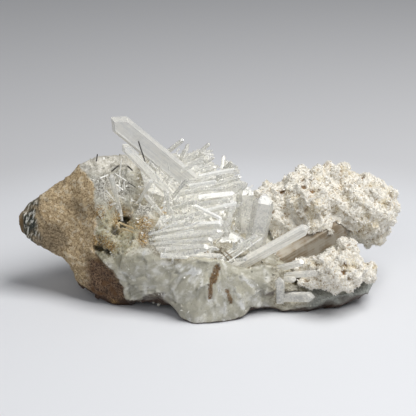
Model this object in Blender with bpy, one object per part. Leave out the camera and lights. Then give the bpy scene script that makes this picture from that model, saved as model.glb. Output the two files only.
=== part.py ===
"""Quartz crystals on albite: a hand specimen about 258 mm wide, in metres, +Z up.

The origin is under the middle of the specimen, at the height of the surface it rests on.
+X runs to its right and +Y away from the side that shows best.
The matrix is one rock, tan wall rock on the left that passes into pale massive albite.
Two knobbly growths of bladed albite sit on its right half, and quartz crystals grow out of
the hollow in its middle. Every growth is set in a socket of what carries it.
"""

import math
import random

import bmesh
import bpy
from mathutils import Matrix, Vector, noise

MM = 0.001
FIT_GAP = 0.35 * MM

# Quartz: the angle between a prism face and the rhombohedral face above it
RHOMB_TILT = math.radians(38.2)
# From a crystal's middle to its prism faces, as a share of its width
APOTHEM_SHARE = 0.45
# A crystal up to this width, in millimetres, ends in three of its six rhombohedral faces
SLENDER = 5.0
# How far out a crystal's prism faces lie, as shares of the distance above
FACE_REACH = (0.9, 1.08)
# How far past the tip its strong and weak rhombohedral faces lie, as shares of the width
STRONG_FACE_LATE = (0.0, 0.06)
WEAK_FACE_LATE = (0.03, 0.22)
# Turns about its own length, in degrees, that show a crystal from every side
ANY_TURN = (0, 60)
# Corners of a crystal closer than this are one corner
CORNER_GAP = 0.02 * MM

# Rock of the matrix; each layer of its relief is (wavelength, amplitude, octaves)
ROCK_VOXEL = 3.0 * MM
ROCK_TRIANGLES = 1900
ROCK_RELIEF = ((26 * MM, 2.2 * MM, 1), (9 * MM, 1.0 * MM, 3))
GROUND_SIZE = (400 * MM, 400 * MM, 100 * MM)

# Blocks of the matrix, each the convex hull of its corners, in millimetres
WALL_PROW = (
    (-130, 8, 43), (-125, 8, 59), (-128, 16, 50), (-116, -1, 39), (-99, -7, 30), (-113, 10, 70),
    (-101, 12, 80), (-84, -12, 30), (-84, 14, 88), (-86, 36, 66), (-90, 30, 26), (-114, 28, 44),
)
WALL_ROCK = (
    (-94, -7, 24), (-87, -12, 11), (-74, -16, 4), (-62, -17, -3), (-48, -16, -3), (-98, 12, 77),
    (-88, 14, 88), (-76, 18, 94), (-72, 10, 87), (-68, 1, 74), (-69, -8, 61), (-69, -15, 48),
    (-66, -22, 36), (-58, -26, 28), (-62, 48, 82), (-84, 46, 60), (-66, 54, 24), (-88, 28, 22),
    (-54, 32, 0), (-78, 18, 5), (-47, 2, -2), (-64, 0, -2),
)
BACK_RIDGE = (
    (-76, 18, 93), (-58, 20, 96), (-42, 24, 95), (-22, 26, 86), (-4, 28, 77), (20, 28, 69),
    (42, 28, 60), (-62, 48, 82), (-20, 58, 64), (30, 56, 52), (64, 34, 30), (-66, 8, 40),
    (62, 54, 22), (-62, 56, 24), (20, 4, 30),
)
CORE = (
    (-64, -22, 40), (-52, -20, 8), (-24, -24, 5), (30, -26, 4), (62, -20, 6), (68, 8, 30),
    (-62, 30, 6), (60, 44, 6), (10, 58, 10), (-40, 54, 14), (-58, -14, 56), (-20, -24, 52),
    (20, -24, 42), (48, -18, 32), (-30, 30, 70), (40, 26, 50),
)
APRON_LEFT = (
    (-57, -22, 4), (-44, -20, 6), (-26, -26, 5), (-64, -24, 38), (-46, -31, 30), (-24, -37, 26),
    (-52, -24, 48), (-20, -34, 48), (-14, -40, 40), (-4, -30, 20),
)
FRONT_BULGE = (
    (-24, -31, 6), (-18, -40, 0), (-8, -46, 0), (8, -45, 0), (20, -39, 0), (27, -31, 4),
    (-26, -36, 26), (-8, -45, 26), (12, -45, 24), (28, -38, 20), (-20, -36, 46), (2, -38, 44),
    (20, -34, 38), (36, -30, 28), (-10, -16, -1), (14, -16, -1),
)
APRON_RIGHT = (
    (24, -30, 3), (37, -25, 1), (48, -27, 0), (60, -28, 0), (70, -22, 3), (26, -38, 28),
    (44, -36, 22), (62, -33, 14), (30, -30, 38), (48, -28, 32), (66, -18, 28), (40, -8, 2),
    (64, -4, 2),
)
RIGHT_SLAB = (
    (56, -29, 0), (68, -24, 2), (86, -22, 3), (102, -17, 7), (111, -11, 12), (60, -32, 13),
    (85, -29, 13), (104, -20, 15), (113, -8, 17), (112, 14, 14), (98, 38, 9), (60, 40, 3),
    (92, 10, 0), (84, -10, 0), (60, 14, 26), (92, 20, 24),
)
BACK_FOOT = (
    (-26, 36, -1), (-30, 52, 0), (30, 54, 0), (34, 34, -1), (-36, 50, 26), (40, 50, 24), (0, 60, 16),
)
RIGHT_SHOULDER = (
    (30, 2, 28), (54, -6, 34), (86, -2, 36), (100, 18, 30), (94, 36, 22), (46, 46, 30), (52, 8, 50),
    (88, 14, 46), (60, 34, 50), (84, -12, 16), (98, 6, 14), (50, -14, 16),
)
MATRIX_BLOCKS = (
    WALL_PROW, WALL_ROCK, BACK_RIDGE, CORE, APRON_LEFT, FRONT_BULGE, APRON_RIGHT, RIGHT_SLAB,
    RIGHT_SHOULDER, BACK_FOOT,
)

# Hollows of the matrix: centre and half widths, in millimetres
MATRIX_HOLLOWS = (
    ((-55, -12, 66), (12, 12, 15)),
    ((-33, -12, 66), (13, 10, 12)),
    ((-46, -36, 54), (8, 9, 5)),
    ((-62, -30, 40), (6, 8, 4)),
    ((55, -34, 24), (6, 8, 4)),
    ((74, -22, 42), (14, 12, 8)),
)

# Bladed albite growths: each lobe as centre and half widths, in millimetres
UPPER_LOBES = (
    ((43, 16, 60), (15, 15, 14)),
    ((67, 18, 64), (21, 22, 18)),
    ((101, 22, 56), (26, 25, 22)),
    ((86, 27, 77), (10, 10, 7)),
    ((74, 6, 50), (14, 11, 8)),
    ((48, 5, 50), (9, 8, 9)),
    ((109, 24, 37), (13, 14, 8)),
)
UPPER_KNOBS = 190
UPPER_TRIANGLES = 1600
LOWER_LOBES = (
    ((84, -28, 30), (16, 13, 11)),
    ((65, -23, 32), (8, 7, 4.5)),
    ((68, -29, 23), (8, 7, 4)),
    ((103, -18, 24), (6, 8, 5)),
    ((90, -15, 42), (5.5, 6, 5)),
    ((92, -14, 32), (8, 8, 8)),
    ((83, -34, 24), (9, 6, 4.5)),
)
LOWER_KNOBS = 80
LOWER_TRIANGLES = 800
KNOB_RADIUS = (2.8 * MM, 5.4 * MM)
# How far a knob's middle stands out of its lobe, as a share of its radius
KNOB_RISE = (-0.5, 0.05)
FEWEST_KNOBS = 6
ALBITE_VOXEL = 1.5 * MM

# Quartz crystals: foot, tip, width across the view, flattening towards the viewer (1 is none),
# and turn about their own length in degrees. Feet and tips are in millimetres
TALL_LEFT = (((-8, 14, 72), (-63, 2, 124), 13.2, 0.62, 4),)
TALL_COMPANION = (((-22, 6, 66), (-56, -4, 108), 6.0, 0.85, 20),)
UPRIGHT_LEFT = (((-59.5, 9, 54), (-64.5, 1, 86), 3.4, 0.9, 12),)
SWORD_LEFT = (((-48, 12, 62), (-37.5, -11.5, 86), 2.8, 0.8, 25),)
LONG_RIGHT = (((9, -27, 27), (64, -20, 57), 8.6, 0.8, 14),)
SMOKY_RIGHT = (((29, -14, 18), (92, 6, 51), 18.6, 0.65, 12),)
LOW_RIGHT = (
    ((34, -22, 26), (61, -33, 38), 5.0, 0.7, 10),
    ((36, -22, 23), (70, -36, 32), 4.6, 0.8, 20),
    ((36, -22, 21), (56, -33, 26), 4.5, 0.8, 30),
)
STUB_LOW = (
    ((46, -28, 8), (45, -37, 29), 6.2, 0.7, 0),
    ((42, -26, 11), (68, -36, 15), 8.0, 0.6, 8),
)
CLUSTER = (
    ((22, -2, 28), (24, 7, 76), 12.0, 0.9, 18),
    ((26, -16, 24), (36, -13, 77), 13.4, 0.8, 2),
    ((10, -14, 48), (15, -11, 73), 5.0, 0.9, 4),
    ((-20, -2, 71), (18, -11, 77), 4.8, 0.9, 0),
    ((-14, -4, 66), (13, -15, 74), 3.6, 0.9, 0),
    ((-14, -6, 61), (12, -17, 70), 3.6, 0.9, 10),
    ((-12, -4, 67), (3, -21, 60), 3.6, 0.9, 8),
    ((-28, 12, 79), (3, 16, 89), 3.8, 0.8, 0),
    ((-18, 8, 74), (20, 10, 86), 4.4, 0.8, 0),
    ((-14, 6, 71), (21, 5, 83), 3.8, 0.8, 20),
    ((-14, 10, 77), (6, 20, 86), 3.2, 0.9, 12),
    ((-14, 4, 64), (25, 6, 78), 8.0, 0.6, 0),
    ((-41, -17, 49), (13, -26, 62), 6.2, 0.7, 0),
    ((-41, -19, 46), (9, -32, 58), 6.6, 0.7, 6),
    ((-40, -22, 45), (2, -37, 55), 4.0, 0.8, 22),
    ((-36, -24, 42), (0, -40, 51), 5.6, 0.8, 12),
    ((-32, -26, 38), (-6, -43, 50), 3.6, 0.9, 4),
    ((2, -30, 40), (1, -36, 54), 2.4, 0.9, 12),
    ((2, -26, 35), (31, -26, 54), 2.8, 0.9, 8),
    ((6, -25, 33), (27, -29, 50), 2.6, 0.9, 20),
    ((-30, -4, 58), (-42, -10, 76), 3.2, 0.9, 8),
    ((-26, -4, 58), (-28, -14, 80), 3.2, 0.9, 16),
    ((-30, -2, 62), (-8, -18, 74), 3.4, 0.9, 0),
    ((-24, 0, 64), (2, -12, 80), 3.0, 0.9, 20),
    ((-26, 2, 68), (-14, -8, 86), 2.8, 0.9, 14),
    ((-34, -10, 52), (-12, -26, 62), 3.4, 0.9, 10),
    ((-43, 20, 90), (-22, 18, 113), 5.0, 0.9, 10),
    ((-41, 22, 90), (-25, 20, 109), 3.4, 0.9, 30),
    ((-37, 21, 88), (-17, 21, 104), 3.2, 0.9, 25),
    ((-30, 18, 82), (-7, 20, 95), 5.0, 0.8, 0),
    ((-22, 18, 80), (-1, 22, 91), 3.2, 0.9, 15),
)
# Bundles of crystals side by side: foot, tip, width of each, how many, and how far they spread
BUNDLES = (
    ((-34, -12, 56), (2, -20, 66), 3.6, 3, 4.0),
    ((-20, 8, 70), (8, 6, 84), 3.6, 3, 4.5),
    ((-20, -2, 62), (8, -8, 72), 3.4, 3, 3.5),
    ((-28, 14, 78), (-6, 20, 96), 3.2, 3, 4.5),
    ((-42, 12, 76), (-36, 4, 94), 3.2, 2, 4.0),
)
BUNDLE_FLAT = 0.8
BUNDLE_WIDTHS = (0.75, 1.3)
BUNDLE_LENGTHS = (0.75, 1.0)
# Massive quartz that the cluster grows from, each the convex hull of its corners, in millimetres
QUARTZ_MASS_BACK = (
    (-46, 16, 84), (-36, 20, 93), (-22, 22, 94), (-10, 22, 87), (4, 20, 82), (18, 16, 74),
    (25, 8, 64), (-42, 4, 74), (-16, 0, 65), (10, -4, 57), (-44, 18, 62), (20, 14, 44),
    (-18, 34, 82), (4, 32, 70), (-30, 8, 54), (0, 4, 44),
)
QUARTZ_MASS_FRONT = (
    (-38, -18, 51), (-32, -6, 60), (-12, -4, 61), (2, -9, 56), (14, -11, 50), (30, -14, 42),
    (-26, -26, 43), (-6, -29, 40), (10, -28, 35), (27, -20, 30), (-30, -10, 34), (14, -6, 28),
    (-2, 4, 58),
)
QUARTZ_MASSES = (QUARTZ_MASS_BACK, QUARTZ_MASS_FRONT)
SPRAY_COUNT = 12
SPRAY_LENGTH = (10.0, 19.0)
SPRAY_WIDTH = (2.2, 4.0)
SPRAY_FOOT_DEPTH = 5.0
SPRAY_FLAT = 0.85


def start_empty():
    for obj in list(bpy.data.objects):
        bpy.data.objects.remove(obj)


def finish(name, colour, roughness, transmission=0.0):
    """A plain material; the finer surface is left to the look of each piece."""
    made = bpy.data.materials.new(name)
    made.use_nodes = True
    shader = made.node_tree.nodes["Principled BSDF"]
    shader.inputs["Base Color"].default_value = (*colour, 1.0)
    shader.inputs["Roughness"].default_value = roughness
    shader.inputs["Metallic"].default_value = 0.0
    shader.inputs["Transmission Weight"].default_value = transmission
    made.diffuse_color = (*colour, 1.0)
    return made


def object_from(bm, name):
    mesh = bpy.data.meshes.new(name)
    bm.to_mesh(mesh)
    bm.free()
    obj = bpy.data.objects.new(name, mesh)
    bpy.context.scene.collection.objects.link(obj)
    return obj


def settle(obj):
    """Gives the object the mesh that its modifiers make, and drops them."""
    bpy.context.view_layer.update()
    graph = bpy.context.evaluated_depsgraph_get()
    made = bpy.data.meshes.new_from_object(obj.evaluated_get(graph))
    obj.modifiers.clear()
    old = obj.data
    obj.data = made
    bpy.data.meshes.remove(old)
    return obj


def remesh(obj, voxel):
    """One skin round everything in the mesh, so shapes that overlap are joined."""
    modifier = obj.modifiers.new("Skin", "REMESH")
    modifier.mode = "VOXEL"
    modifier.voxel_size = voxel
    return settle(obj)


def smooth(obj, times, factor=0.5):
    modifier = obj.modifiers.new("Weather", "SMOOTH")
    modifier.iterations = times
    modifier.factor = factor
    return settle(obj)


def reduce_to(obj, triangles):
    obj.data.calc_loop_triangles()
    modifier = obj.modifiers.new("Facets", "DECIMATE")
    modifier.ratio = min(1.0, triangles / len(obj.data.loop_triangles))
    modifier.use_collapse_triangulate = True
    return settle(obj)


def boolean(obj, others, operation, crossed=False):
    """Cuts from the object, or joins to it, every one of the others, and removes them.

    crossed says that the skin of one of them may cut through itself.
    """
    group = bpy.data.collections.new("Operands")
    bpy.context.scene.collection.children.link(group)
    for other in others:
        bpy.context.scene.collection.objects.unlink(other)
        group.objects.link(other)
    modifier = obj.modifiers.new("Boolean", "BOOLEAN")
    modifier.operation = operation
    modifier.solver = "EXACT"
    modifier.operand_type = "COLLECTION"
    modifier.use_self = crossed
    modifier.collection = group
    settle(obj)
    for other in others:
        bpy.data.objects.remove(other)
    bpy.data.collections.remove(group)
    return obj


def keep_largest(obj):
    """Drops the loose chips that a cut leaves beside the main body."""
    bm = bmesh.new()
    bm.from_mesh(obj.data)
    unseen = set(bm.verts)
    bodies = []
    while unseen:
        front = [unseen.pop()]
        body = set(front)
        while front:
            for edge in front.pop().link_edges:
                for vert in edge.verts:
                    if vert in unseen:
                        unseen.remove(vert)
                        body.add(vert)
                        front.append(vert)
        bodies.append(body)
    bodies.sort(key=len)
    chips = [vert for body in bodies[:-1] for vert in body]
    bmesh.ops.delete(bm, geom=chips, context="VERTS")
    bm.to_mesh(obj.data)
    bm.free()
    return obj


def add_hull(bm, corners):
    verts = [bm.verts.new(Vector(corner) * MM) for corner in corners]
    made = bmesh.ops.convex_hull(bm, input=verts)
    inside = {v for v in made["geom_interior"] + made["geom_unused"] if isinstance(v, bmesh.types.BMVert)}
    bmesh.ops.delete(bm, geom=list(inside), context="VERTS")


def add_lobe(bm, centre, half_widths, detail=3):
    place = Matrix.Translation(Vector(centre) * MM) @ Matrix.Diagonal((*(Vector(half_widths) * MM), 1.0))
    bmesh.ops.create_icosphere(bm, subdivisions=detail, radius=1.0, matrix=place)


def add_ball(bm, centre, radius):
    bmesh.ops.create_icosphere(bm, subdivisions=2, radius=radius, matrix=Matrix.Translation(centre))


def on_lobe(centre, half_widths, direction):
    """The point of a lobe's surface in that direction from its centre, and the normal there."""
    half = Vector(half_widths)
    point = Vector(d * h for d, h in zip(direction, half))
    normal = Vector(d / h for d, h in zip(direction, half)).normalized()
    return (Vector(centre) + point) * MM, normal


def spread_direction(index, count):
    """The index-th of count directions spread evenly over a ball."""
    height = 1.0 - 2.0 * (index + 0.5) / count
    ring = math.sqrt(1.0 - height * height)
    angle = index * math.pi * (3.0 - math.sqrt(5.0))
    return Vector((ring * math.cos(angle), ring * math.sin(angle), height))


def roughen(obj, layers):
    """Moves each vertex along its normal by noise; a layer is (wavelength, amplitude, octaves)."""
    for vert in obj.data.vertices:
        shift = 0.0
        for wavelength, amplitude, octaves in layers:
            shift += amplitude * noise.fractal(vert.co / wavelength, 0.9, 2.1, octaves)
        vert.co += vert.normal * shift
    return obj


def grown_copy(obj, by):
    """A copy whose skin lies outside the object's by that much, to cut a socket with."""
    mesh = obj.data.copy()
    grown = bpy.data.objects.new(obj.name + "_socket", mesh)
    bpy.context.scene.collection.objects.link(grown)
    for vert, source in zip(mesh.vertices, obj.data.vertices):
        vert.co = source.co + source.normal * by
    return grown


def crystal_planes(length, width, flat, rng):
    """The faces of a quartz crystal standing on its foot, as (normal, distance)."""
    apothem = APOTHEM_SHARE * width
    planes = [(Vector((0.0, 0.0, -1.0)), 0.0)]
    strong = rng.randrange(2)
    all_rhombs = width > SLENDER * MM
    for side in range(6):
        angle = math.radians(90 + 60 * side)
        outward = Vector((math.cos(angle), math.sin(angle), 0.0))
        reach = apothem * (flat if side % 3 == 0 else rng.uniform(*FACE_REACH))
        planes.append((outward, reach))
        if side % 2 != strong and not all_rhombs:
            continue
        rhomb = outward * math.cos(RHOMB_TILT) + Vector((0.0, 0.0, math.sin(RHOMB_TILT)))
        late = rng.uniform(*(STRONG_FACE_LATE if side % 2 == strong else WEAK_FACE_LATE))
        planes.append((rhomb, rhomb.z * length + late * width))
    return planes


def corners_of(planes):
    """Every point where three of the planes meet on the solid that they bound."""
    slack = 1e-7
    found = []
    for i, (n1, d1) in enumerate(planes):
        for j, (n2, d2) in enumerate(planes[:i]):
            for n3, d3 in planes[:j]:
                det = n1.dot(n2.cross(n3))
                if abs(det) < 1e-6:
                    continue
                point = (n2.cross(n3) * d1 + n3.cross(n1) * d2 + n1.cross(n2) * d3) / det
                if all(n.dot(point) <= d + slack for n, d in planes):
                    found.append(point)
    return found


def solid_within(planes, name):
    """The convex solid behind all the planes, its flat faces whole."""
    bm = bmesh.new()
    for point in corners_of(planes):
        bm.verts.new(point)
    bmesh.ops.remove_doubles(bm, verts=bm.verts, dist=CORNER_GAP)
    bmesh.ops.convex_hull(bm, input=bm.verts)
    bmesh.ops.dissolve_limit(bm, angle_limit=math.radians(1), verts=bm.verts, edges=bm.edges)
    bmesh.ops.recalc_face_normals(bm, faces=bm.faces)
    return object_from(bm, name)


def crystal_frame(foot, tip, turn):
    """The matrix that stands a crystal on its foot, one prism face towards the viewer at turn 0."""
    along = (tip - foot).normalized()
    across = along.cross(Vector((0.0, -1.0, 0.0))).normalized()
    facing = along.cross(across)
    axes = Matrix((across, facing, along)).transposed().to_4x4()
    return Matrix.Translation(foot) @ axes @ Matrix.Rotation(math.radians(turn), 4, "Z")


def crystal(entry, name, grow=0.0):
    """One crystal; grow moves every face outwards, for the socket that it sits in."""
    foot, tip, width, flat, turn = entry
    foot = Vector(foot) * MM
    tip = Vector(tip) * MM
    rng = random.Random(f"{foot.x:.4f} {tip.z:.4f} {width:.2f}")
    planes = crystal_planes((tip - foot).length, width * MM, flat, rng)
    made = solid_within([(normal, distance + grow) for normal, distance in planes], name)
    made.data.transform(crystal_frame(foot, tip, turn))
    return made


def bundle(foot, tip, width, count, spread):
    """Crystals side by side, a little longer or shorter than each other."""
    rng = random.Random(f"{foot} {tip}")
    made = []
    for _ in range(count):
        shift = Vector(rng.uniform(-spread, spread) for _ in range(3))
        fan = Vector(rng.uniform(-spread, spread) for _ in range(3)) / 2
        start = Vector(foot) + shift
        end = Vector(foot).lerp(Vector(tip), rng.uniform(*BUNDLE_LENGTHS)) + shift + fan
        own_width = width * rng.uniform(*BUNDLE_WIDTHS)
        made.append((tuple(start), tuple(end), own_width, BUNDLE_FLAT, rng.uniform(*ANY_TURN)))
    return made


def massive_quartz(grow=0.0):
    """The rock of quartz under the cluster; grow moves every face outwards."""
    chunks = []
    for corners in QUARTZ_MASSES:
        bm = bmesh.new()
        add_hull(bm, corners)
        planes = [(face.normal.copy(), face.normal.dot(face.verts[0].co) + grow) for face in bm.faces]
        bm.free()
        chunks.append(solid_within(planes, "massive_quartz"))
    return boolean(chunks[0], chunks[1:], "UNION")


def spray(mass):
    """Small crystals that point out of the massive quartz on its open sides."""
    rng = random.Random(11)
    open_faces = [face for face in mass.data.polygons if face.normal.z > 0.1 or face.normal.y < -0.5]
    areas = [face.area for face in open_faces]
    made = []
    for face in rng.choices(open_faces, areas, k=SPRAY_COUNT):
        corners = [mass.data.vertices[index].co for index in face.vertices]
        shares = [rng.random() for _ in corners]
        start = sum((co * share for co, share in zip(corners, shares)), Vector()) / sum(shares) / MM
        lean = Vector((rng.uniform(-0.5, 0.9), rng.uniform(-0.5, 0.2), rng.uniform(-0.2, 0.6)))
        aim = (face.normal + lean).normalized()
        tip = start + aim * rng.uniform(*SPRAY_LENGTH)
        width = rng.uniform(*SPRAY_WIDTH)
        foot = start - aim * SPRAY_FOOT_DEPTH
        made.append((tuple(foot), tuple(tip), width, SPRAY_FLAT, rng.uniform(*ANY_TURN)))
    return tuple(made)


def quartz_group(entries, name):
    """Crystals that overlap, joined in one solid."""
    first, *rest = [crystal(entry, name) for entry in entries]
    return boolean(first, rest, "UNION") if rest else first


def sockets(entries):
    return [crystal(entry, "socket", grow=FIT_GAP) for entry in entries]


def albite_growth(lobes, knobs, triangles, seed, name):
    """Lobes thick with round knobs, as bladed albite grows."""
    rng = random.Random(seed)
    bm = bmesh.new()
    sizes = [Vector(half).length_squared for _, half in lobes]
    for (centre, half_widths), size in zip(lobes, sizes):
        add_lobe(bm, centre, half_widths)
        share = max(FEWEST_KNOBS, round(knobs * size / sum(sizes)))
        for index in range(share):
            point, normal = on_lobe(centre, half_widths, spread_direction(index, share))
            radius = rng.uniform(*KNOB_RADIUS)
            add_ball(bm, point + normal * radius * rng.uniform(*KNOB_RISE), radius)
    growth = remesh(object_from(bm, name), ALBITE_VOXEL)
    smooth(growth, 1)
    return reduce_to(growth, triangles)


def rock(name):
    """The matrix before any growth is set in it."""
    bm = bmesh.new()
    for corners in MATRIX_BLOCKS:
        add_hull(bm, corners)
    matrix = remesh(object_from(bm, name), ROCK_VOXEL)
    bm = bmesh.new()
    for centre, half_widths in MATRIX_HOLLOWS:
        add_lobe(bm, centre, half_widths)
    boolean(matrix, [object_from(bm, "hollows")], "DIFFERENCE")
    remesh(matrix, ROCK_VOXEL)
    smooth(matrix, 2)
    roughen(matrix, ROCK_RELIEF)
    return reduce_to(matrix, ROCK_TRIANGLES)


def ground_slab():
    """What lies under the specimen, which cuts its feet flat."""
    bm = bmesh.new()
    below = Matrix.Translation((0.0, 0.0, -GROUND_SIZE[2] / 2))
    bmesh.ops.create_cube(bm, size=1.0, matrix=below @ Matrix.Diagonal((*GROUND_SIZE, 1.0)))
    return object_from(bm, "ground")


def centre_on_origin(objects):
    """Moves them all so that the bounding box has the origin in the middle of its underside."""
    for axis in (0, 1):
        ends = [vert.co[axis] for obj in objects for vert in obj.data.vertices]
        shift = Vector()
        shift[axis] = -0.5 * (min(ends) + max(ends))
        for obj in objects:
            obj.data.transform(Matrix.Translation(shift))


def main():
    start_empty()
    tan_rock = finish("matrix_rock", (0.42, 0.37, 0.29), 0.9)
    albite = finish("bladed_albite", (0.80, 0.77, 0.70), 0.8)
    clear = finish("clear_quartz", (0.86, 0.86, 0.83), 0.12, transmission=0.9)
    smoky = finish("smoky_quartz", (0.55, 0.47, 0.37), 0.15, transmission=0.8)

    singles = {
        "quartz_tall_left": TALL_LEFT,
        "quartz_tall_companion": TALL_COMPANION,
        "quartz_upright_left": UPRIGHT_LEFT,
        "quartz_sword_left": SWORD_LEFT,
        "quartz_long_right": LONG_RIGHT,
        "quartz_smoky_right": SMOKY_RIGHT,
        "quartz_low_right": LOW_RIGHT,
        "quartz_stub_low": STUB_LOW,
    }
    taken = []
    for name, entries in singles.items():
        group = quartz_group(entries, name)
        group.data.materials.append(smoky if "smoky" in name else clear)
        if taken:
            boolean(group, sockets(taken), "DIFFERENCE")
            keep_largest(group)
        taken.extend(entries)

    cluster = massive_quartz()
    cluster.name = "quartz_cluster"
    bundled = [entry for group in BUNDLES for entry in bundle(*group)]
    members = CLUSTER + tuple(bundled) + spray(cluster)
    boolean(cluster, [crystal(entry, "member") for entry in members], "UNION")
    boolean(cluster, sockets(taken), "DIFFERENCE")
    keep_largest(cluster)
    cluster.data.materials.append(clear)

    matrix = rock("matrix")
    boolean(matrix, [ground_slab()], "DIFFERENCE")
    upper = albite_growth(UPPER_LOBES, UPPER_KNOBS, UPPER_TRIANGLES, 3, "albite_growth_upper")
    lower = albite_growth(LOWER_LOBES, LOWER_KNOBS, LOWER_TRIANGLES, 5, "albite_growth_lower")
    set_in = taken + list(members)
    for growth in (upper, lower):
        boolean(growth, [grown_copy(matrix, FIT_GAP)], "DIFFERENCE", crossed=True)
        boolean(growth, sockets(set_in) + [massive_quartz(grow=FIT_GAP)], "DIFFERENCE")
        keep_largest(growth)
    boolean(matrix, sockets(set_in) + [massive_quartz(grow=FIT_GAP)], "DIFFERENCE")
    keep_largest(matrix)

    for growth in (upper, lower):
        growth.data.materials.clear()
        growth.data.materials.append(albite)
    matrix.data.materials.clear()
    matrix.data.materials.append(tan_rock)
    centre_on_origin([obj for obj in bpy.data.objects if obj.type == "MESH"])


main()
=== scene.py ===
"""Looks of the quartz on albite specimen: wall rock, massive and bladed albite, clear quartz.

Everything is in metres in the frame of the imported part: +X to the right, +Y away from the
side that shows the crystals, +Z up, with the origin under the middle. The tables of spots,
streaks, fans and needles are in millimetres, since they are read against the real size.
"""

import math

import bpy
import numpy as np
from mathutils import Matrix, Vector, noise
from mathutils.bvhtree import BVHTree


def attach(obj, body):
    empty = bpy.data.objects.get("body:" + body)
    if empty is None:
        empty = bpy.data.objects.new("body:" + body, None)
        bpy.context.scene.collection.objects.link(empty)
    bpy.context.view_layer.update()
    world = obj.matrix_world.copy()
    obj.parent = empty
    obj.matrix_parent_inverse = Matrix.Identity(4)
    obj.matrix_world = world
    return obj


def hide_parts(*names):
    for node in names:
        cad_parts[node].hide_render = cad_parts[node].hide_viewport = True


MM = 0.001
BODY = "root"

# Camera: at the photograph's angle and distance
AIM = Vector((-0.002, -0.0064, 0.063))
DISTANCE = 0.85
ELEVATION = math.radians(20)
LENS = 111.45
SENSOR = 36.0

# Fineness of the modelled surfaces
ROCK_VOXEL = 0.99 * MM
ALBITE_VOXEL = 0.62 * MM

# Where the feathery albite of the base radiates from, in millimetres
FEATHER_CENTRE = (0, -44, 50)

# Where the tan wall rock ends: the X of its edge at each height, on the front
WALL_HEIGHTS = (0, 8, 17, 28, 33, 38, 46, 69, 80, 87)
WALL_EDGES = (-55, -57, -59, -64, -71, -77, -75, -76, -79, -87)


def srgb(red, green, blue):
    """A colour as a screen shows it, from 0 to 255, as the linear colour that shaders take."""
    shown = (channel / 255 for channel in (red, green, blue))
    linear = [c / 12.92 if c <= 0.04045 else ((c + 0.055) / 1.055) ** 2.4 for c in shown]
    return (*linear, 1.0)


# Numbers over many points at once

# The share of a blob's or streak's radius within which it is at full strength
CORE = 0.35


def smooth(start, end, values):
    """0 before start, 1 after end, and a soft step between; end may be the lower one."""
    share = np.clip((values - start) / (end - start), 0.0, 1.0)
    return share * share * (3.0 - 2.0 * share)


def fractal(points, size, octaves, seed):
    """Soft noise of about -1 to 1 at each point, its largest lumps about size across."""
    shift = Vector((seed, -seed, 2.0 * seed))
    fade = 0.9
    finer = 2.1
    return np.array([noise.fractal(Vector(p) / size + shift, fade, finer, octaves) for p in points])


def cells(points, size, seed):
    """How far the nearest of scattered points about size apart is, 0 to about 1, and where it is."""
    shift = Vector((seed, -seed, 2.0 * seed))
    nearest = []
    centres = []
    for p in points:
        distances, found = noise.voronoi(Vector(p) / size + shift)
        nearest.append(distances[0])
        centres.append((found[0] - shift) * size)
    return np.array(nearest), np.array(centres)


def facets(points, size, slope, seed):
    """Heights of broken faces: within each cell of about size, a flat face tilted its own way."""
    _, centres = cells(points, size, seed)
    # Without a seed the vector noise would start from the clock and change from run to run
    noise.seed_set(1)
    # Centres this far apart in the noise have tilts that have nothing to do with each other
    spread = 977.0
    tilts = np.array([noise.noise_vector(Vector(c) * spread) for c in centres])
    return slope * np.einsum("ij,ij->i", points - centres, tilts)


def rays_from(points, centre, stretch):
    """Places in which cells come out long and thin, radiating from a centre in millimetres."""
    relative = points - np.array(centre) * MM
    reach = np.linalg.norm(relative[:, [0, 2]], axis=1)
    turn = np.arctan2(relative[:, 2], relative[:, 0])
    width_of_a_radian = 25 * MM
    depth_share = 0.7
    return np.column_stack((turn * width_of_a_radian, reach / stretch, points[:, 1] * depth_share))


def blob(points, centre, radii):
    """1 in the middle, falling to 0 at the radii; both are in millimetres."""
    reach = (points / MM - np.array(centre)) / np.array(radii)
    return smooth(1.0, CORE, np.linalg.norm(reach, axis=1))


def spots(points, places):
    """The strongest of several blobs at each point; a place is (centre, radii)."""
    return np.maximum.reduce([blob(points, *place) for place in places])


def streak(points, start, end, radius):
    """1 along the line between two points, falling to 0 at the radius, in millimetres."""
    start = np.array(start, float)
    along = np.array(end, float) - start
    relative = points / MM - start
    share = np.clip(relative @ along / (along @ along), 0.0, 1.0)
    return smooth(radius, CORE * radius, np.linalg.norm(relative - share[:, None] * along, axis=1))


# Meshes

def mesh_object(name, points, faces):
    mesh = bpy.data.meshes.new(name)
    mesh.from_pydata([tuple(p) for p in points], [], faces)
    mesh.validate()
    obj = bpy.data.objects.new(name, mesh)
    bpy.context.scene.collection.objects.link(obj)
    return obj


def fine_copy(node, name, voxel):
    """A copy of a CAD node with a fine, even skin that can be worked on."""
    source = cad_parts[node]
    obj = bpy.data.objects.new(name, source.data.copy())
    bpy.context.scene.collection.objects.link(obj)
    skin = obj.modifiers.new("Skin", "REMESH")
    skin.mode = "VOXEL"
    skin.voxel_size = voxel
    bpy.context.view_layer.update()
    graph = bpy.context.evaluated_depsgraph_get()
    made = bpy.data.meshes.new_from_object(obj.evaluated_get(graph))
    obj.modifiers.clear()
    obj.data = made
    obj.data.materials.clear()
    return obj


def points_of(obj):
    """Its vertices and their normals as two arrays."""
    count = len(obj.data.vertices)
    points = np.empty(3 * count, np.float32)
    normals = np.empty(3 * count, np.float32)
    obj.data.vertices.foreach_get("co", points)
    obj.data.vertex_normals.foreach_get("vector", normals)
    return points.reshape(-1, 3).astype(float), normals.reshape(-1, 3).astype(float)


def set_points(obj, points):
    obj.data.vertices.foreach_set("co", points.astype(np.float32).ravel())
    obj.data.update()


def set_mask(obj, name, values):
    """A number on each vertex that the material reads by name."""
    layer = obj.data.attributes.new(name, "FLOAT", "POINT")
    layer.data.foreach_set("value", values.astype(np.float32))


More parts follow.
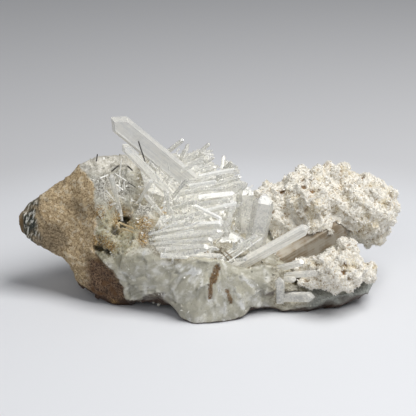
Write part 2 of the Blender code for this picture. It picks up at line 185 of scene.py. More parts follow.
def distance_to(points, nodes):
    """The distance from each point to the nearest surface of those CAD nodes, up to 6 mm."""
    reach = 6.0 * MM
    graph = bpy.context.evaluated_depsgraph_get()
    nearest = np.full(len(points), reach)
    for node in nodes:
        tree = BVHTree.FromObject(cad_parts[node], graph)
        for index, point in enumerate(points):
            found = tree.find_nearest(Vector(point), nearest[index])
            if found[0] is not None:
                nearest[index] = min(nearest[index], found[3])
    return nearest


def finish_piece(obj, material, stands_for=()):
    obj.data.materials.append(material)
    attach(obj, BODY)
    if stands_for:
        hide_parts(*stands_for)


# Added to weights, since a draw without repeats needs enough places that aren't ruled out
NEVER_ZERO = 1e-9


def scatter(obj, weight, count, rng):
    """That many places on the object, as (point, normal); weight says how likely each vertex is."""
    points, normals = points_of(obj)
    chosen = rng.choice(len(points), size=count, p=weight / weight.sum(), replace=False)
    return [(Vector(points[i]), Vector(normals[i])) for i in chosen]


# Materials

class Shader:
    """A material's node tree. Each call adds a node and returns the socket to use."""

    def __init__(self, name):
        self.material = bpy.data.materials.new(name)
        self.material.use_nodes = True
        self.tree = self.material.node_tree
        self.surface = self.tree.nodes["Principled BSDF"]
        self.place = self.node("TexCoord").outputs["Object"]

    def put(self, socket, value):
        if isinstance(value, bpy.types.NodeSocket):
            self.tree.links.new(value, socket)
        else:
            socket.default_value = value

    def node(self, kind, inputs=(), **settings):
        made = self.tree.nodes.new("ShaderNode" + kind)
        for key, value in settings.items():
            setattr(made, key, value)
        for key, value in dict(inputs).items():
            self.put(made.inputs[key], value)
        return made

    def mask(self, name):
        return self.node("Attribute", attribute_name=name).outputs["Fac"]

    def noise(self, size, detail, place=None):
        inputs = {"Vector": place or self.place, "Scale": 1 / size, "Detail": detail, "Roughness": 0.6}
        return self.node("TexNoise", inputs).outputs["Fac"]

    def pick(self, size):
        """A number that each grain of about size picks for itself."""
        cell = self.node("TexVoronoi", {"Vector": self.place, "Scale": 1 / size})
        return self.node("SeparateColor", {"Color": cell.outputs["Color"]}).outputs["Red"]

    def step(self, value, start, end, low=0.0, high=1.0):
        inputs = {"Value": value, "From Min": start, "From Max": end, "To Min": low, "To Max": high}
        return self.node("MapRange", inputs, interpolation_type="SMOOTHSTEP").outputs["Result"]

    def math(self, operation, first, second):
        return self.node("Math", {0: first, 1: second}, operation=operation).outputs["Value"]

    def mix(self, share, first, second, blend="MIX"):
        made = self.node("Mix", {0: share, 6: first, 7: second}, data_type="RGBA", blend_type=blend)
        return made.outputs[2]

    def stretched(self, axis, along=0.05):
        """Places squeezed along an axis, so noise read there runs in streaks along it."""
        turn = Vector((0, 0, 1)).rotation_difference(Vector(axis)).to_euler()
        inputs = {"Vector": self.place, "Rotation": turn, "Scale": (1.0, 1.0, 1.0 / along)}
        return self.node("Mapping", inputs, vector_type="TEXTURE").outputs["Vector"]

    def bump(self, height, depth):
        inputs = {"Height": height, "Distance": depth, "Strength": 1.0}
        return self.node("Bump", inputs).outputs["Normal"]

    def finish(self, **inputs):
        for key, value in inputs.items():
            self.put(self.surface.inputs[key.replace("_", " ")], value)
        return self.material


def rock_material():
    """Granular tan wall rock, brown where it is broken below, and pale glassy massive albite."""
    shader = Shader("rock")
    grain = shader.pick(0.9 * MM)
    crumb = shader.pick(1.9 * MM)
    coarse = shader.noise(7 * MM, 4)
    fine = shader.noise(1.0 * MM, 3)
    tan = shader.mix(grain, srgb(142, 120, 86), srgb(206, 184, 148))
    tan = shader.mix(shader.step(crumb, 0.72, 0.9, 0.0, 0.45), tan, srgb(226, 214, 190))
    tan = shader.mix(shader.step(coarse, 0.5, 0.8, 0.0, 0.5), tan, srgb(118, 98, 70))
    tan = shader.mix(shader.step(fine, 0.56, 0.66, 0.0, 0.75), tan, srgb(90, 68, 42))
    brown = shader.mix(grain, srgb(74, 54, 38), srgb(142, 114, 88))
    brown = shader.mix(shader.step(fine, 0.5, 0.64), brown, srgb(44, 28, 20))
    brown = shader.mix(shader.step(coarse, 0.5, 0.65, 0.0, 0.8), brown, srgb(104, 72, 40))
    # Painted shade: the tan wall is darker on its lower left, where it lies in shade
    painted_shade_tan = shader.mix(grain, srgb(92, 76, 54), srgb(158, 140, 112))
    tan = shader.mix(shader.mask("shade"), tan, painted_shade_tan)
    bands = shader.noise(1.5 * MM, 3, shader.stretched((0.25, 0.0, 0.97), 0.2))
    tip = shader.mix(shader.step(bands, 0.5, 0.62), srgb(52, 55, 48), srgb(224, 222, 212))
    tip = shader.mix(shader.mask("tip_end"), tip, srgb(118, 94, 60))
    wall = shader.mix(shader.mask("brown"), tan, brown)
    wall = shader.mix(shader.mask("tip"), wall, tip)

    feather = shader.mask("feather")
    pale = shader.mix(shader.step(feather, -0.35, 0.4), srgb(184, 180, 162), srgb(228, 226, 217))
    pale = shader.mix(shader.step(coarse, 0.42, 0.62), pale, srgb(192, 188, 170))
    pale = shader.mix(shader.step(feather, 0.35, 0.6), pale, srgb(238, 237, 232))
    pale = shader.mix(shader.step(fine, 0.6, 0.7, 0.0, 0.6), pale, srgb(140, 130, 104))
    pale = shader.mix(shader.mask("milky"), pale, srgb(244, 244, 241))
    green = shader.mix(crumb, srgb(212, 207, 184), srgb(166, 159, 128))
    green = shader.mix(shader.step(coarse, 0.45, 0.65, 0.0, 0.7), green, srgb(160, 154, 124))
    green = shader.mix(shader.step(fine, 0.56, 0.64), green, srgb(136, 108, 58))
    pale = shader.mix(shader.mask("green"), pale, green)
    druse = shader.mix(grain, srgb(112, 108, 98), srgb(204, 201, 192))
    druse = shader.mix(shader.step(fine, 0.55, 0.68), druse, srgb(62, 56, 46))
    pale = shader.mix(shader.mask("druse"), pale, druse)
    crust = shader.mix(grain, srgb(182, 176, 160), srgb(220, 216, 206))
    pale = shader.mix(shader.mask("crust"), pale, crust)
    slab = shader.mix(grain, srgb(146, 148, 140), srgb(188, 190, 182))
    pale = shader.mix(shader.mask("slab"), pale, slab)
    # Painted shade: the pale rock close round the crystals is darker, in place of the shadow the
    # crystals don't cast
    quartz_bed_shade = shader.mix(grain, srgb(136, 128, 108), srgb(190, 184, 166))
    pale = shader.mix(shader.mask("quartz_bed_shade"), pale, quartz_bed_shade)

    colour = shader.mix(shader.mask("wall"), pale, wall)
    # Painted shadow: a dark brown line along the seam, as under the lip of the crust
    colour = shader.mix(shader.mask("seam_groove_and_shadow"), colour, srgb(118, 96, 64))
    rust = shader.math("MULTIPLY", shader.mask("rust"), shader.step(fine, 0.4, 0.52))
    colour = shader.mix(rust, colour, shader.mix(grain, srgb(86, 60, 22), srgb(182, 148, 88)))
    stain = shader.math("MULTIPLY", shader.mask("stain"), shader.step(fine, 0.3, 0.5, 0.6, 1.0))
    colour = shader.mix(stain, colour, shader.mix(grain, srgb(98, 70, 40), srgb(142, 112, 70)))
    depths = shader.mix(shader.step(fine, 0.4, 0.6), srgb(40, 34, 18), srgb(104, 92, 54))
    colour = shader.mix(shader.mask("hole"), colour, depths)
    # Painted shade: dark brown on the faces that look down near the floor
    colour = shader.mix(shader.mask("painted_under_shade"), colour, srgb(66, 46, 32))
    # Painted shade and light: the colour darkens where the relief lies low and lightens a little where
    # it stands out
    relief_light_and_shade = shader.step(shader.mask("relief"), -1.0, 1.0, 0.7, 1.06)
    relief_light_and_shade = shader.node("CombineColor", {0: relief_light_and_shade, 1: relief_light_and_shade, 2: relief_light_and_shade}).outputs[0]
    colour = shader.mix(1.0, colour, relief_light_and_shade, "MULTIPLY")

    matt = shader.math("MAXIMUM", shader.mask("wall"), shader.mask("druse"))
    roughness = shader.step(matt, 0.0, 1.0, 0.3, 0.88)
    height = shader.math("ADD", grain, shader.math("ADD", fine, shader.math("MULTIPLY", crumb, 0.6)))
    return shader.finish(Base_Color=colour, Roughness=roughness, Normal=shader.bump(height, 0.3 * MM))


def albite_material():
    """Matt cream-white sugary albite, tan in its pits and down between the blades: dirt and painted
    shade together.
    """
    shader = Shader("bladed_albite")
    grain = shader.pick(0.9 * MM)
    coarse = shader.noise(12 * MM, 3)
    fine = shader.noise(0.9 * MM, 3)
    colour = shader.mix(grain, srgb(228, 221, 206), srgb(253, 250, 241))
    colour = shader.mix(shader.step(coarse, 0.5, 0.7), colour, srgb(222, 212, 188))
    # Dirt and painted shade: tan, with dark brown specks, where the surface lies low
    low = shader.step(shader.mask("relief"), 0.0, -0.6)
    dirt_and_shade = shader.math("MULTIPLY", low, shader.step(fine, 0.4, 0.6, 0.1, 0.8))
    colour = shader.mix(dirt_and_shade, colour, srgb(172, 148, 104))
    specks = shader.math("MULTIPLY", low, shader.step(fine, 0.58, 0.63))
    colour = shader.mix(specks, colour, srgb(120, 90, 50))
    colour = shader.mix(shader.mask("pit"), colour, srgb(132, 100, 58))
    height = shader.math("ADD", grain, fine)
    return shader.finish(Base_Color=colour, Roughness=0.75, Normal=shader.bump(height, 0.35 * MM))


def blade_material():
    """The single blades of albite: white, with a slight gloss on their faces."""
    shader = Shader("albite_blades")
    tone = shader.noise(4 * MM, 2)
    colour = shader.mix(shader.step(tone, 0.35, 0.65), srgb(224, 219, 208), srgb(250, 248, 244))
    return shader.finish(Base_Color=colour, Roughness=0.45)


def quartz_material(name, look, axis=None):
    """Quartz with soft veils, and faint streaks along its axis where it has one."""
    shader = Shader(name)
    streaks = shader.noise(1.6 * MM, 3, None if axis is None else shader.stretched(axis))
    veils = shader.noise(7 * MM, 3)
    cloud = shader.step(shader.math("ADD", streaks, veils), 0.8, 1.2)
    clear, clouded = look["transmission"]
    shader.surface.inputs["IOR"].default_value = 1.544
    absorb = shader.node("VolumeAbsorption", {"Color": look["absorbs"], "Density": look["density"]})
    output = shader.tree.nodes["Material Output"]
    shader.tree.links.new(absorb.outputs["Volume"], output.inputs["Volume"])
    made = shader.finish(
        Base_Color=shader.mix(cloud, look["clear"], look["veil"]),
        Roughness=look["roughness"],
        Transmission_Weight=shader.step(cloud, 0.0, 1.0, clear, clouded),
    )
    if axis is not None:
        shader.finish(Normal=shader.bump(streaks, 0.02 * MM))
    return made


# Pieces

QUARTZ_NODES = (
    "quartz_cluster", "quartz_tall_left", "quartz_tall_companion", "quartz_upright_left",
    "quartz_sword_left", "quartz_long_right", "quartz_smoky_right", "quartz_low_right",
    "quartz_stub_low",
)
# Nodes whose crystals point many ways, so that one direction of streaks wouldn't suit them
MANY_WAYS = ("quartz_cluster", "quartz_low_right", "quartz_stub_low")


def long_axis(node):
    """The direction in which a CAD node is longest."""
    count = len(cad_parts[node].data.vertices)
    points = np.empty(3 * count, np.float32)
    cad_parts[node].data.vertices.foreach_get("co", points)
    points = points.reshape(-1, 3)
    _, directions = np.linalg.eigh(np.cov((points - points.mean(axis=0)).T))
    return directions[:, -1]


# What clear quartz leaves of white light, as the absorption colour
FAINT_TINT = (0.97, 0.97, 0.95, 1.0)


def quartz_look(clear, veil, transmission, roughness=0.05, absorbs=FAINT_TINT, density=30.0):
    """Colours where it is clear and veiled, how much light passes there, gloss and absorption."""
    return {
        "clear": clear, "veil": veil, "transmission": transmission, "roughness": roughness,
        "absorbs": absorbs, "density": density,
    }


CLEAR = quartz_look(srgb(234, 234, 232), srgb(225, 223, 215), (0.7, 0.3), 0.1)
# Whiter, less clear quartz: a painted highlight on crystals and edges that catch the light
HIGHLIGHT_WHITE = quartz_look(srgb(248, 248, 247), srgb(242, 241, 236), (0.45, 0.2))
MILKY = quartz_look(srgb(222, 222, 220), srgb(218, 216, 210), (0.5, 0.3), 0.16)
PALE = quartz_look(srgb(238, 237, 233), srgb(230, 227, 218), (0.55, 0.25), 0.08)
SMOKY = quartz_look(
    srgb(220, 212, 197), srgb(156, 139, 116), (0.35, 0.15), 0.14, (0.6, 0.5, 0.38, 1.0), 60.0,
)
BROWN = quartz_look(srgb(176, 164, 144), srgb(120, 108, 88), (0.4, 0.2), 0.1)
TAN = quartz_look(srgb(212, 198, 164), srgb(178, 156, 116), (0.2, 0.1), 0.2)
# Dark, nearly opaque quartz: painted shade for needles that lie dark
SHADE_SLATE = quartz_look(srgb(92, 90, 88), srgb(64, 60, 56), (0.2, 0.1), 0.2)
QUARTZ_LOOKS = {
    "quartz_tall_left": MILKY,
    "quartz_smoky_right": SMOKY,
    "quartz_long_right": PALE,
    # Painted highlight: the sword is made of the whiter quartz
    "quartz_sword_left": HIGHLIGHT_WHITE,
    "quartz_low_right": PALE,
    "quartz_stub_low": PALE,
}


def dress_quartz():
    """The CAD crystals keep their faces; each gets bevelled edges in whiter quartz, a painted
    highlight, and its own veiled material.
    """
    # Painted highlight: the bevelled edges get whiter, less clear quartz so that they read bright
    edge_highlight = quartz_material("quartz_edge_highlights", HIGHLIGHT_WHITE)
    for node in QUARTZ_NODES:
        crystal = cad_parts[node]
        axis = None if node in MANY_WAYS else tuple(long_axis(node))
        crystal.data.materials.clear()
        crystal.data.materials.append(quartz_material(node, QUARTZ_LOOKS.get(node, CLEAR), axis))
        crystal.data.materials.append(edge_highlight)
        highlight_slot = 1
        crystal.visible_shadow = False
        highlight_bevel = crystal.modifiers.new("HighlightBevel", "BEVEL")
        highlight_bevel.width = 0.18 * MM
        highlight_bevel.segments = 1
        highlight_bevel.limit_method = "ANGLE"
        highlight_bevel.angle_limit = math.radians(25)
        highlight_bevel.material = highlight_slot


# Spots on the rock, each as its centre and radii, and streaks, each as its two ends and its
# radius. All are in millimetres
# Painted shade: the lower left of the wall is coloured darker, as it lies in shade
SHADED_SPOTS = (((-106, -6, 42), (20, 20, 13)),)
GREEN_SPOTS = (((-63, -21, 49), (29, 32, 27)),)
FOLDED_SPOTS = (((-44, -33, 13), (20, 20, 14)),)
DRUSE_SPOTS = (((-65, 2, 74), (24, 22, 18)), ((-45, -6, 63), (15, 16, 8)))
MILKY_SPOTS = (
    ((-13, -46, 35), (9, 9, 4)),
    ((-26, -42, 38), (8, 9, 4)),
    ((106, -14, 21), (10, 11, 4)),
)
RUST_SPOTS = (
    ((-44, -16, 55), (9.5, 13, 7)),
    ((-71, -19, 45), (10, 9, 6.5)),
    ((-66, -24, 43), (8, 9, 5.5)),
    ((-73, -11, 61.5), (6, 10, 7)),
    ((-65, -10, 66), (4.5, 9, 4.5)),
    ((-44, -26, 48), (5, 10, 10)),
    ((-59, -6, 55), (12, 20, 9)),
    ((-30, -6, 61), (6, 7, 4)),
    ((56, -36, 25), (8, 8, 5)),
)
HOLE_SPOTS = (
    ((-57, -4, 49.5), (11, 17, 6.5)),
    ((-62, -20, 54), (6.5, 10, 7)),
    ((-73, -19, 40), (7, 8, 3.4)),
    ((-67, -23, 39.5), (6, 8, 3.2)),
    ((55, -36, 24), (7, 8, 4.5)),
)
STAIN_STREAKS = (
    ((4, -48, 38), (1, -51, 30), 3.8),
    ((0, -51, 27), (-1, -51, 18), 2.2),
    ((10, -50, 23), (13, -50, 14), 2.0),
)


def rock_surfaces(points, normals, wander, feathers):
    """How strongly each kind of surface, and each painted shade, shows at each point of the rock,
    mostly from 0 to 1.
    """
    x, y, z = points.T
    ragged = 2 * MM * wander
    feather = 0.7 * fractal(feathers, 3.5 * MM, 3, 8.0) + 0.5 * fractal(feathers, 1.5 * MM, 2, 9.0)
    crumbs = fractal(points, 3 * MM, 2, 6.0)

    edge = np.interp(z / MM, WALL_HEIGHTS, WALL_EDGES) * MM
    edge = edge + 25 * MM * smooth(0.015, 0.045, y) + 2.2 * MM * wander
    wall = smooth(edge + 0.8 * MM, edge - 0.8 * MM, x)
    pale = 1.0 - wall
    brown = wall * smooth(36 * MM, 31 * MM, z + ragged)
    tip = wall * smooth(-0.114, -0.119, x + 4 * MM * wander)
    # The seam band is cut in as a groove and coloured dark as painted shadow
    seam_groove_and_shadow = smooth(1.6 * MM, 0.4 * MM, np.abs(x - edge)) * smooth(0.05, 0.04, z)
    rust_at_foot = smooth(7 * MM, 2 * MM, z + ragged) * smooth(-0.075, -0.06, x)
    rust_at_foot = rust_at_foot * smooth(-0.045, -0.055, x)
    streaks = np.maximum.reduce([streak(points, *place) for place in STAIN_STREAKS])
    return {
        "wall": wall,
        "brown": brown * smooth(-0.085, -0.078, x + ragged),
        "shade": wall * spots(points, SHADED_SPOTS),
        "tip": tip * smooth(0.012, -0.002, y + 9 * MM * wander),
        "tip_end": smooth(-0.124, -0.1265, x + 3 * MM * wander),
        "feather": feather,
        "green": pale * spots(points, GREEN_SPOTS) * smooth(-0.042, -0.046, x + ragged),
        "druse": pale * spots(points, DRUSE_SPOTS),
        "crust": pale * smooth(0.082, 0.085, z + ragged) * smooth(-0.03, -0.045, x),
        "slab": pale * smooth(0.058, 0.068, x) * smooth(0.021, 0.017, z),
        "seam_groove_and_shadow": seam_groove_and_shadow * smooth(0.3, -0.2, wander),
        "milky": spots(points, MILKY_SPOTS) * smooth(-0.3, 0.1, feather),
        # Painted shade under the rock: faces that look down, near the floor
        "painted_under_shade": smooth(-0.25, -0.6, normals[:, 2]) * smooth(0.025, 0.015, z),
        "rust": np.maximum(spots(points, RUST_SPOTS), rust_at_foot),
        "stain": smooth(0.4, 0.65, 0.5 * crumbs + streaks),
        "hole": smooth(0.45, 0.7, 0.25 * crumbs + spots(points, HOLE_SPOTS)),
    }


def rock_relief(points, wander, feathers, masks):
    """How far the broken, granular and porous surface stands out from the plain solid."""
    x, _, z = points.T
    wall = masks["wall"]
    pale = 1.0 - wall
    grains = 1.0 - cells(points, 2.0 * MM, 5.0)[0]
    pores, _ = cells(points, 3.4 * MM, 9.0)
    broken = 0.7 * facets(points, 11 * MM, 0.32, 1.0) + 0.8 * facets(feathers, 4 * MM, 0.5, 2.0)
    broken += 0.5 * facets(feathers, 2 * MM, 0.5, 6.0)
    rough = 0.5 * facets(points, 17 * MM, 0.3, 4.0) + 0.45 * MM * fractal(points, 4 * MM, 3, 7.0)
    arch_x = -0.038
    from_arch = np.hypot(x - arch_x, z)
    layers = np.sin(2 * math.pi * (from_arch / (2.6 * MM) + 0.5 * wander))

    height = wall * rough
    height += wall * 0.3 * MM * grains
    height += pale * (1.0 - 0.6 * masks["druse"]) * broken
    height += 0.5 * MM * (masks["druse"] + masks["crust"]) * grains
    height -= masks["green"] * 1.6 * MM * smooth(0.35, 0.1, pores)
    height += 0.5 * MM * spots(points, FOLDED_SPOTS) * layers * pale
    height -= 0.8 * MM * masks["seam_groove_and_shadow"]
    height -= 2.6 * MM * masks["hole"]
    return height


def rock():
    """The matrix with its broken, granular and porous surface."""
    piece = fine_copy("matrix", "rock", ROCK_VOXEL)
    points, normals = points_of(piece)
    wander = fractal(points, 9 * MM, 3, 3.0)
    feathers = rays_from(points, FEATHER_CENTRE, 3.5)
    masks = rock_surfaces(points, normals, wander, feathers)
    height = rock_relief(points, wander, feathers, masks)
    joint = distance_to(points, QUARTZ_NODES)
    masks["relief"] = np.clip(height / MM, -1, 1)
    # Painted shade round the crystals' feet, in place of the shadow they don't cast
    masks["quartz_bed_shade"] = (1.0 - masks["wall"]) * smooth(5.5 * MM, 2.0 * MM, joint)
    # A low collar closes the gap round each crystal, and the feet stay flat
    height += 0.45 * MM * smooth(2.5 * MM, 0.5 * MM, joint)
    height *= smooth(0.0, 2.0 * MM, points[:, 2])
    set_points(piece, points + normals * height[:, None])
    for name, values in masks.items():
        set_mask(piece, name, values)
    piece.data.shade_smooth()
    finish_piece(piece, rock_material(), ["matrix"])
    return piece, {"joint": joint, **masks}


def albite_growth(node, name, blades, material, blade_finish, rng):
    """A knobbly growth: knobs, smaller knobs on them, and blades that stand out all over."""
    piece = fine_copy(node, name, ALBITE_VOXEL)
    points, normals = points_of(piece)
    knobs, _ = cells(points, 5.2 * MM, 4.0)
    small, _ = cells(points, 2.6 * MM, 8.0)
    tiny, _ = cells(points, 1.3 * MM, 2.0)
    pit = smooth(0.32, 0.12, cells(points, 7.5 * MM, 11.0)[0])
    pit = pit * smooth(-0.1, 0.25, fractal(points, 16 * MM, 2, 5.0))
    height = 1.1 * MM * (0.4 - knobs) + 1.3 * MM * (0.4 - small) + 1.0 * MM * (0.4 - tiny)
    height = height - 1.5 * MM * pit
    relief = np.clip((0.5 - knobs) * 0.6 + (0.5 - small) * 1.4 + (0.45 - tiny) * 0.9, -1, 1)
    set_points(piece, points + normals * height[:, None])
    set_mask(piece, "relief", relief)
    set_mask(piece, "pit", pit)
    piece.data.shade_smooth()
    weight = np.clip(relief + 0.9, 0.1, 1.6) * (1.0 - pit)
    places = scatter(piece, weight, blades, rng)
    finish_piece(piece, material, [node])
    plates = blade_plates(name + "_blades", places, (0.6 * MM, 1.4 * MM), rng)
    finish_piece(plates, blade_finish)


# A blade's six corners, as shares of its width and its length
BLADE_OUTLINE = ((-0.35, 0.0), (0.35, 0.0), (0.5, 0.65), (0.2, 1.0), (-0.25, 0.95), (-0.5, 0.6))


def blade_plates(name, places, lengths, rng):
    """Thin six-sided plates, each standing out of the surface at its own slant."""
    points = []
    faces = []
    for point, normal in places:
        length = rng.uniform(*lengths)
        width = length * rng.uniform(0.45, 0.8)
        thickness = length * rng.uniform(0.1, 0.2)
        lean = Vector(rng.normal(size=3)) * 0.55
        up = (normal + lean).normalized()
        side = up.orthogonal().normalized()
        side = Matrix.Rotation(rng.uniform(0, 2 * math.pi), 3, up) @ side
        face = up.cross(side)
        foot = point - up * 0.3 * length
        first = len(points)
        for across, along in BLADE_OUTLINE:
            corner = foot + side * (across * width) + up * (along * length)
            points.append(corner - face * thickness / 2)
            points.append(corner + face * thickness / 2)
        front = tuple(first + 2 * i for i in range(6))
        back = tuple(first + 2 * i + 1 for i in reversed(range(6)))
        faces += [front, back]
        for corner in range(6):
            here = first + 2 * corner
            after = first + 2 * ((corner + 1) % 6)
            faces.append((here, here + 1, after + 1, after))
    return mesh_object(name, points, faces)


def small_crystals(name, entries, rng):
    """Hexagonal crystals joined in one mesh; an entry is (foot, direction, length, width)."""
    points = []
    faces = []
    for foot, direction, length, width in entries:
        up = direction.normalized()
        side = Matrix.Rotation(rng.uniform(0, math.pi), 3, up) @ up.orthogonal().normalized()
        face = up.cross(side)
        flat = rng.uniform(0.6, 1.0)
        first = len(points)
        for ring in (0, 1):
            for corner in range(6):
                angle = math.pi / 3 * corner
                out = side * math.cos(angle) + face * (math.sin(angle) * flat)
                rise = 0.0 if ring == 0 else length - width * rng.uniform(0.35, 0.75)
                points.append(foot + out * width / 2 + up * rise)
        points.append(foot + up * length + side * width * rng.uniform(-0.12, 0.12))
        for corner in range(6):
            after = (corner + 1) % 6
            faces.append((first + corner, first + after, first + 6 + after, first + 6 + corner))
            faces.append((first + 6 + corner, first + 6 + after, first + 12))
        faces.append(tuple(first + corner for corner in reversed(range(6))))
    return mesh_object(name, points, faces)


def grow(name, entries, look, rng):
    """One piece of small crystals, in the look given."""
    piece = small_crystals(name, entries, rng)
    piece.visible_shadow = False
    finish_piece(piece, quartz_material(name, look))


def druse(rock_piece, masks, rng):
    """Small quartz crystals round the feet of the large ones and in the hollow on the left."""
    points, _ = points_of(rock_piece)
    x, y, z = points.T
    near = smooth(4.5 * MM, 1.0 * MM, masks["joint"]) * smooth(0.015, 0.03, z)
    beside = 0.05 * near * smooth(0.065, 0.055, x)
    weight = (0.02 * masks["druse"] + beside) * smooth(0.03, 0.02, y) + NEVER_ZERO
    entries = []
    for point, normal in scatter(rock_piece, weight, 560, rng):
        lean = Vector(rng.normal(size=3)) * 0.5
        width = rng.uniform(0.7, 2.0) * MM
        length = width * rng.uniform(1.8, 4.5)
        direction = (normal + lean + Vector((0.1, -0.2, 0.3))).normalized()
        entries.append((point - direction * 0.3 * length, direction, length, width))
    grow("druse", entries, CLEAR, rng)


def places_on(node, region, count, rng):
    """Places on a CAD node's faces, as (point, normal), gathered in a (centre, radii) region."""
    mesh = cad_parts[node].data
    mesh.calc_loop_triangles()
    corners = np.array([[mesh.vertices[i].co for i in t.vertices] for t in mesh.loop_triangles])
    cross = np.cross(corners[:, 1] - corners[:, 0], corners[:, 2] - corners[:, 0])
    area = np.linalg.norm(cross, axis=1)
    picked = rng.choice(len(area), size=30 * count, p=area / area.sum())
    shares = rng.dirichlet((1, 1, 1), size=len(picked))
    points = np.einsum("ij,ijk->ik", shares, corners[picked])
    weight = blob(points, *region)
    chosen = rng.choice(len(picked), size=count, p=weight / weight.sum(), replace=False)
    return [(Vector(points[i]), Vector(cross[picked[i]]).normalized()) for i in chosen]


# Growths of small crystals on the cluster: the region they cover, the way they lean, how many,
# and their lengths and widths. Places and sizes are in millimetres
BRUSHES = {
    "brush_middle": (((-26, -14, 68), (20, 26, 24)), (0.3, -0.3, 0.5), 150, (2.5, 8), (0.7, 2.2)),
    "brush_top": (((-8, 8, 84), (32, 26, 22)), (0.9, -0.1, 0.35), 60, (5, 12), (1.4, 3.0)),
    "brush_right": (((12, -10, 66), (26, 26, 26)), (0.5, -0.2, 0.4), 60, (2, 6), (0.7, 1.8)),
    "brush_front": (((16, -25, 49), (16, 14, 12)), (0.5, -0.3, 0.6), 40, (3, 8), (0.8, 2.0)),
}


def brushes(rng):
    for name, (region, lean, count, lengths, widths) in BRUSHES.items():
        entries = []
        for point, normal in places_on("quartz_cluster", region, count, rng):
            stray = 0.35 * Vector(rng.normal(size=3))
            direction = (0.6 * normal + Vector(lean) + stray).normalized()
            length = rng.uniform(*lengths) * MM
            foot = point - 0.25 * length * direction
            entries.append((foot, direction, length, rng.uniform(*widths) * MM))
        grow(name, entries, CLEAR, rng)


# How far apart the crystals of a fan start, in millimetres
FAN_START_SPREAD = 5.0

# Fans of slender crystals: where they start and point, how far they spread, how many,
# and their lengths and widths. Places and sizes are in millimetres
FANS = {
    "front": ((-32, -23, 52), (0.95, -0.24, 0.2), 0.09, 5, (26, 40), (2.2, 4.0)),
    "low": ((-26, -31, 44), (0.96, -0.22, 0.08), 0.1, 5, (18, 32), (2.0, 3.6)),
    "upper": ((-16, 0, 70), (0.94, -0.08, 0.28), 0.12, 7, (16, 32), (2.0, 3.8)),
    "ridge": ((-20, 10, 84), (0.85, 0.0, 0.5), 0.25, 16, (8, 18), (1.2, 2.6)),
    "tall_foot": ((-34, -4, 82), (-0.3, -0.5, 0.75), 0.4, 16, (5, 12), (0.8, 1.8)),
    "hollow": ((-62, 4, 74), (0.1, -0.4, 0.8), 0.6, 18, (4, 12), (0.7, 1.5)),
    "back": ((-14, 22, 78), (0.1, 0.7, 0.6), 0.5, 30, (8, 18), (1.2, 3.0)),
}


def fans(rng):
    for name, (start, axis, spread, count, lengths, widths) in FANS.items():
        entries = []
        for _ in range(count):
            foot = Vector(start) + Vector(rng.normal(size=3)) * FAN_START_SPREAD
            direction = (Vector(axis) + Vector(rng.normal(size=3)) * spread).normalized()
            length = rng.uniform(*lengths)
            entries.append((foot * MM, direction, length * MM, rng.uniform(*widths) * MM))
        grow("fan_" + name, entries, CLEAR, rng)


# Single small crystals that stand out in the photograph: foot, tip and width in millimetres
NEEDLES = {
    # Painted shade: dark needles where small clear crystals lie in shade
    "needles_shade": (SHADE_SLATE, (
        ((-43, -6, 95), (-47, -9, 110), 1.0),
        ((-76.2, 9.5, 90), (-75.1, 8, 95.9), 1.1),
        ((-66.1, 9, 83.4), (-60.9, 4, 89.2), 1.0),
        ((-55.5, 9, 87.2), (-51.8, 5, 85.1), 1.0),
        ((-55.3, 7, 76.2), (-49.7, 1, 74.8), 0.8),
    )),
    # Painted highlights: whiter needles where small crystals catch the light
    "needles_highlight": (HIGHLIGHT_WHITE, (
        ((-63.4, 9, 81.4), (-55.8, 2, 79.1), 0.7),
        ((-68.7, 6, 81.8), (-72.9, -4, 82.9), 0.9),
        ((-35.8, 0, 87.3), (-38.2, -6, 93.9), 0.8),
        ((-8.9, 2, 81), (-7.3, 2, 86), 0.9),
        ((-9.9, -2, 74), (-2, -6, 77.9), 1.4),
        ((-19.8, -3, 73.7), (-13.8, -7, 75.2), 1.1),
        ((-26.7, -24, 57), (-19.3, -31, 61.4), 0.9),
        ((-26, -27, 52.9), (-11, -34, 58.4), 1.1),
        ((-21.4, -28, 55.7), (-7.1, -36, 64.3), 1.0),
        ((-39.6, -26, 51.5), (-25.1, -32, 60.7), 0.9),
        ((7, -36, 39.5), (29.7, -28, 52.3), 0.8),
        ((10.9, -38, 37.5), (32.9, -30, 51), 0.8),
        ((-2, -40, 39), (0.5, -39, 50), 1.7),
    )),
    # Painted highlights: whiter prisms where their faces catch the light
    "prisms_middle": (HIGHLIGHT_WHITE, (
        ((-8, -8, 71), (16, -9, 74.3), 4.6),
        ((-10, -17, 68), (7, -33, 65), 3.4),
        ((-8, 2, 82), (16, 0, 87.5), 3.6),
        ((-14, -3, 77), (4, -8, 82), 3.0),
        ((-4, -20, 66), (17, -24, 73), 3.2),
        ((-20, -24, 58), (8, -33, 62), 4.0),
    )),
    "blades_hole": (TAN, (
        ((-60, -20, 58), (-50, -24, 55), 1.4),
        ((-60, -20, 50), (-58.5, -24.5, 53.5), 1.2),
        ((-58, -20, 54), (-49, -24.5, 52), 1.0),
    )),
    "needles_brown": (BROWN, (
        ((-5.2, -40, 38.3), (-3, -38, 49), 1.1),
        ((1.9, -40, 38.3), (7, -38, 47.9), 1.2),
        ((-3.3, -38, 45.8), (5.1, -38, 37.5), 1.3),
        ((3.8, -36, 47.1), (12.2, -36, 36.7), 1.3),
        ((-8.4, -38, 44.4), (3.1, -38, 47.2), 1.1),
        ((9, -38, 45), (14, -36, 39), 1.0),
    )),
}


def needles(rng):
    for name, (look, crystals) in NEEDLES.items():
        entries = []
        for foot, tip, width in crystals:
            along = (Vector(tip) - Vector(foot)) * MM
            entries.append((Vector(foot) * MM, along.normalized(), along.length, width * MM))
        grow(name, entries, look, rng)


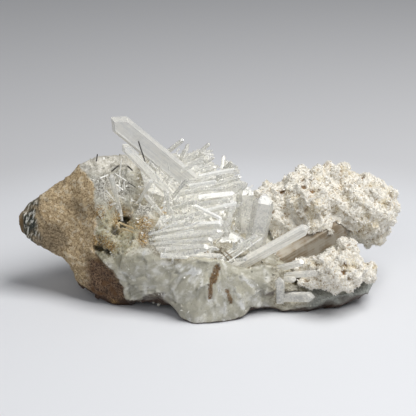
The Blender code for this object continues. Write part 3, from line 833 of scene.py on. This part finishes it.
def albite_flakes(rock_piece, masks, rng):
    """Cleavage flakes that catch the light on the pale massive albite."""
    points, _ = points_of(rock_piece)
    _, _, z = points.T
    weight = (1.0 - masks["wall"]) * (1.0 - 0.7 * masks["slab"])
    weight = weight * smooth(0.002, 0.006, z) + NEVER_ZERO
    places = scatter(rock_piece, weight, 900, rng)
    piece = blade_plates("albite_flakes", places, (0.8 * MM, 2.2 * MM), rng)
    shader = Shader("albite_flakes")
    tone = shader.noise(5 * MM, 2)
    colour = shader.mix(shader.step(tone, 0.35, 0.65), srgb(176, 173, 158), srgb(226, 225, 218))
    finish_piece(piece, shader.finish(Base_Color=colour, Roughness=0.3))


# Surroundings

def stage_and_light():
    reach = 6.0
    corners = [(-reach, -reach, 0), (reach, -reach, 0), (reach, reach, 0), (-reach, reach, 0)]
    floor = mesh_object("floor", corners, [(0, 1, 2, 3)])
    shader = Shader("floor")
    away = shader.node("VectorMath", {0: shader.place}, operation="LENGTH").outputs["Value"]
    near = srgb(224, 225, 228)
    far = srgb(211, 211, 213)
    colour = shader.mix(shader.step(away, 0.22, 0.34), near, far)
    floor.data.materials.append(shader.finish(Base_Color=colour, Roughness=0.9))

    world = bpy.data.worlds.new("studio")
    world.use_nodes = True
    world.node_tree.nodes["Background"].inputs["Color"].default_value = (0.93, 0.96, 1.0, 1.0)
    world.node_tree.nodes["Background"].inputs["Strength"].default_value = 0.2
    bpy.context.scene.world = world

    area_light("key", (0.56, -0.3, 1.22), 0.9, 18.5)
    area_light("front", (-0.3, -1.3, 0.9), 0.9, 3.6)
    bpy.context.scene.view_settings.view_transform = "Standard"


def area_light(name, place, size, power):
    light = bpy.data.lights.new(name, "AREA")
    light.size = size
    light.energy = power
    obj = bpy.data.objects.new(name, light)
    bpy.context.scene.collection.objects.link(obj)
    obj.location = place
    obj.rotation_euler = (AIM - Vector(place)).to_track_quat("-Z", "Y").to_euler()


def camera():
    data = bpy.data.cameras.new("camera")
    data.lens = LENS
    data.sensor_width = SENSOR
    data.clip_start = 0.01
    obj = bpy.data.objects.new("camera", data)
    bpy.context.scene.collection.objects.link(obj)
    away = Vector((0.0, -math.cos(ELEVATION), math.sin(ELEVATION)))
    obj.location = AIM + DISTANCE * away
    obj.rotation_euler = (-away).to_track_quat("-Z", "Y").to_euler()
    bpy.context.scene.camera = obj


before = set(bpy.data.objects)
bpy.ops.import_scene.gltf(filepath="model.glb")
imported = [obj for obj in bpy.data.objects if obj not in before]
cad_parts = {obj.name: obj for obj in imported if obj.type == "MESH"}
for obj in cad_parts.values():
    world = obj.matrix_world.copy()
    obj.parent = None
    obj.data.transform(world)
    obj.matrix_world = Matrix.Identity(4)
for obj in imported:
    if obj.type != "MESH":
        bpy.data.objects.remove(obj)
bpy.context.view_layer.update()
camera()
stage_and_light()
dress_quartz()
rock_piece, rock_masks = rock()
albite = albite_material()
blades = blade_material()
albite_growth("albite_growth_upper", "albite_upper", 8500, albite, blades, np.random.default_rng(1))
albite_growth("albite_growth_lower", "albite_lower", 3600, albite, blades, np.random.default_rng(2))
druse(rock_piece, rock_masks, np.random.default_rng(3))
fans(np.random.default_rng(5))
brushes(np.random.default_rng(6))
needles(np.random.default_rng(7))
albite_flakes(rock_piece, rock_masks, np.random.default_rng(4))
